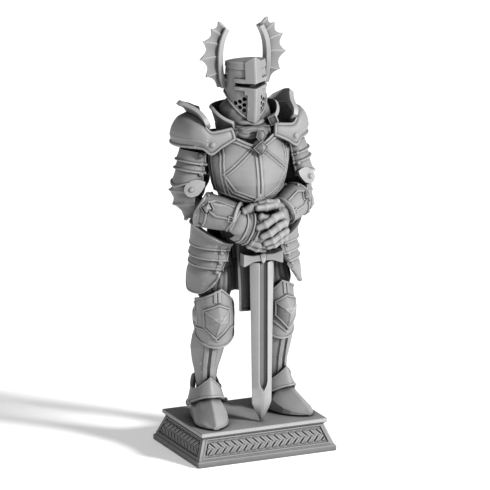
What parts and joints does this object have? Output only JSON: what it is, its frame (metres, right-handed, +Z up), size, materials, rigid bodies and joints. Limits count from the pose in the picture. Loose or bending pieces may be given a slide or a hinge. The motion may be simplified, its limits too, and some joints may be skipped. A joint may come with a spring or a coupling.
{
  "type": "action figure",
  "caption": "Posable armoured knight display figure in plain grey resin, resting both hands on an upright sword, standing on a rectangular plinth.",
  "frame": {"origin": "centre of the flat underside of the plinth", "axes": "+Z up, the knight looks along -Y, the figure's left side is +X"},
  "size_m": [0.076, 0.056, 0.2194],
  "materials": {
    "figure_resin": "matte",
    "plinth_resin": "matte",
    "peg_resin": "matte"
  },
  "bodies": {
    "base": {"plinth": "plinth_resin"},
    "hips": {"pelvis": "figure_resin", "belt": "figure_resin", "hip_rod": "peg_resin", "tabard_front": "figure_resin", "skirt_back": "figure_resin", "waist_post": "peg_resin"},
    "torso": {"torso_core": "figure_resin", "breastplate": "figure_resin", "backplate": "figure_resin", "yoke": "figure_resin", "gorget": "figure_resin", "shoulder_pin_right": "peg_resin", "shoulder_pin_left": "peg_resin"},
    "neck": {"neck_ball": "peg_resin"},
    "head": {"helm": "figure_resin", "crest_wing_right": "figure_resin", "crest_wing_left": "figure_resin"},
    "pauldron_right": {"pauldron_right": "figure_resin", "neck_guard_right": "figure_resin"},
    "arm_right": {"upper_arm_right": "figure_resin", "rerebrace_right": "figure_resin", "couter_right": "figure_resin", "elbow_pin_right": "peg_resin"},
    "forearm_right": {"forearm_right": "figure_resin", "vambrace_right": "figure_resin"},
    "hand_right": {"hand_right": "figure_resin"},
    "tasset_right": {"tasset_right": "figure_resin"},
    "thigh_right": {"thigh_right": "figure_resin", "poleyn_right": "figure_resin", "knee_pin_right": "peg_resin"},
    "shin_right": {"greave_right": "figure_resin", "ankle_pin_right": "peg_resin", "ankle_guard_right": "figure_resin"},
    "foot_right": {"sabaton_right": "figure_resin"},
    "pauldron_left": {"pauldron_left": "figure_resin", "neck_guard_left": "figure_resin"},
    "arm_left": {"upper_arm_left": "figure_resin", "rerebrace_left": "figure_resin", "couter_left": "figure_resin", "elbow_pin_left": "peg_resin"},
    "forearm_left": {"forearm_left": "figure_resin", "vambrace_left": "figure_resin"},
    "hand_left": {"hand_left": "figure_resin"},
    "tasset_left": {"tasset_left": "figure_resin"},
    "thigh_left": {"thigh_left": "figure_resin", "poleyn_left": "figure_resin", "knee_pin_left": "peg_resin"},
    "shin_left": {"greave_left": "figure_resin", "ankle_pin_left": "peg_resin", "ankle_guard_left": "figure_resin"},
    "foot_left": {"sabaton_left": "figure_resin"},
    "sword": {"blade": "figure_resin", "crossguard": "figure_resin", "grip": "figure_resin", "pommel": "figure_resin"}
  },
  "joints": [
    {"name": "figure_lift", "type": "slide", "parent": "base", "child": "hips", "axis": [0, 0, 1], "range_m": [0, 0.03]},
    {"name": "waist_turn", "type": "hinge", "parent": "hips", "child": "torso", "pos_m": [0, -0.0015, 0.124], "axis": [0, 0, 1], "range_deg": [-3, 3]},
    {"name": "neck_turn", "type": "hinge", "parent": "torso", "child": "neck", "pos_m": [0, -0.001, 0.172], "axis": [0, 0, 1], "range_deg": [-25, 25]},
    {"name": "neck_nod", "type": "hinge", "parent": "neck", "child": "head", "pos_m": [0, -0.001, 0.173], "axis": [1, 0, 0], "range_deg": [-5, 5]},
    {"name": "pauldron_right_lift", "type": "hinge", "parent": "torso", "child": "pauldron_right", "pos_m": [-0.016, 0.0024, 0.163], "axis": [0, 1, 0], "range_deg": [0, 12]},
    {"name": "shoulder_right_swing", "type": "hinge", "parent": "torso", "child": "arm_right", "pos_m": [-0.026, 0.0045, 0.1595], "axis": [-1, 0, 0], "range_deg": [0, 10]},
    {"name": "elbow_right_bend", "type": "hinge", "parent": "arm_right", "child": "forearm_right", "pos_m": [-0.0315, 0.002, 0.131], "axis": [-1, 0, 0], "range_deg": [0, 6]},
    {"name": "wrist_right_tilt", "type": "hinge", "parent": "forearm_right", "child": "hand_right", "pos_m": [-0.012, -0.0175, 0.125], "axis": [-1, 0, 0], "range_deg": [0, 10]},
    {"name": "tasset_right_lift", "type": "hinge", "parent": "hips", "child": "tasset_right", "pos_m": [-0.02, -0.004, 0.117], "axis": [-1, 0, 0], "range_deg": [0, 14]},
    {"name": "hip_right_swing", "type": "hinge", "parent": "hips", "child": "thigh_right", "pos_m": [-0.011, 0.002, 0.106], "axis": [-1, 0, 0], "range_deg": [0, 14]},
    {"name": "knee_right_bend", "type": "hinge", "parent": "thigh_right", "child": "shin_right", "pos_m": [-0.0197, -0.002, 0.07], "axis": [1, 0, 0], "range_deg": [0, 19.6]},
    {"name": "ankle_right_tilt", "type": "hinge", "parent": "shin_right", "child": "foot_right", "pos_m": [-0.02, 0.003, 0.035], "axis": [-1, 0, 0], "range_deg": [0, 4]},
    {"name": "pauldron_left_lift", "type": "hinge", "parent": "torso", "child": "pauldron_left", "pos_m": [0.016, 0.0024, 0.163], "axis": [0, -1, 0], "range_deg": [0, 12]},
    {"name": "shoulder_left_swing", "type": "hinge", "parent": "torso", "child": "arm_left", "pos_m": [0.026, 0.0045, 0.1595], "axis": [-1, 0, 0], "range_deg": [0, 10]},
    {"name": "elbow_left_bend", "type": "hinge", "parent": "arm_left", "child": "forearm_left", "pos_m": [0.0315, 0.002, 0.131], "axis": [-1, 0, 0], "range_deg": [0, 6]},
    {"name": "wrist_left_tilt", "type": "hinge", "parent": "forearm_left", "child": "hand_left", "pos_m": [0.012, -0.0175, 0.125], "axis": [-1, 0, 0], "range_deg": [0, 10]},
    {"name": "tasset_left_lift", "type": "hinge", "parent": "hips", "child": "tasset_left", "pos_m": [0.02, -0.004, 0.117], "axis": [-1, 0, 0], "range_deg": [0, 14]},
    {"name": "hip_left_swing", "type": "hinge", "parent": "hips", "child": "thigh_left", "pos_m": [0.011, 0.002, 0.106], "axis": [-1, 0, 0], "range_deg": [0, 14]},
    {"name": "knee_left_bend", "type": "hinge", "parent": "thigh_left", "child": "shin_left", "pos_m": [0.0182, 0.0006, 0.07], "axis": [1, 0, 0], "range_deg": [0, 19.6]},
    {"name": "ankle_left_tilt", "type": "hinge", "parent": "shin_left", "child": "foot_left", "pos_m": [0.0194, 0.0056, 0.035], "axis": [-1, 0, 0], "range_deg": [0, 4]},
    {"name": "sword_turn", "type": "hinge", "parent": "hand_right", "child": "sword", "pos_m": [0.0018, -0.0166, 0.112], "axis": [0, 0, 1], "range_deg": [-6, 6]}
  ],
  "couplings": [
    {"joint": "knee_right_bend", "follows": "hip_right_swing", "ratio": 1.4},
    {"joint": "tasset_right_lift", "follows": "hip_right_swing", "ratio": 1},
    {"joint": "knee_left_bend", "follows": "hip_left_swing", "ratio": 1.4},
    {"joint": "tasset_left_lift", "follows": "hip_left_swing", "ratio": 1},
    {"joint": "shoulder_left_swing", "follows": "shoulder_right_swing", "ratio": 1},
    {"joint": "elbow_right_bend", "follows": "shoulder_right_swing", "ratio": 0.5},
    {"joint": "elbow_left_bend", "follows": "shoulder_right_swing", "ratio": 0.5},
    {"joint": "wrist_left_tilt", "follows": "wrist_right_tilt", "ratio": 1}
  ]
}
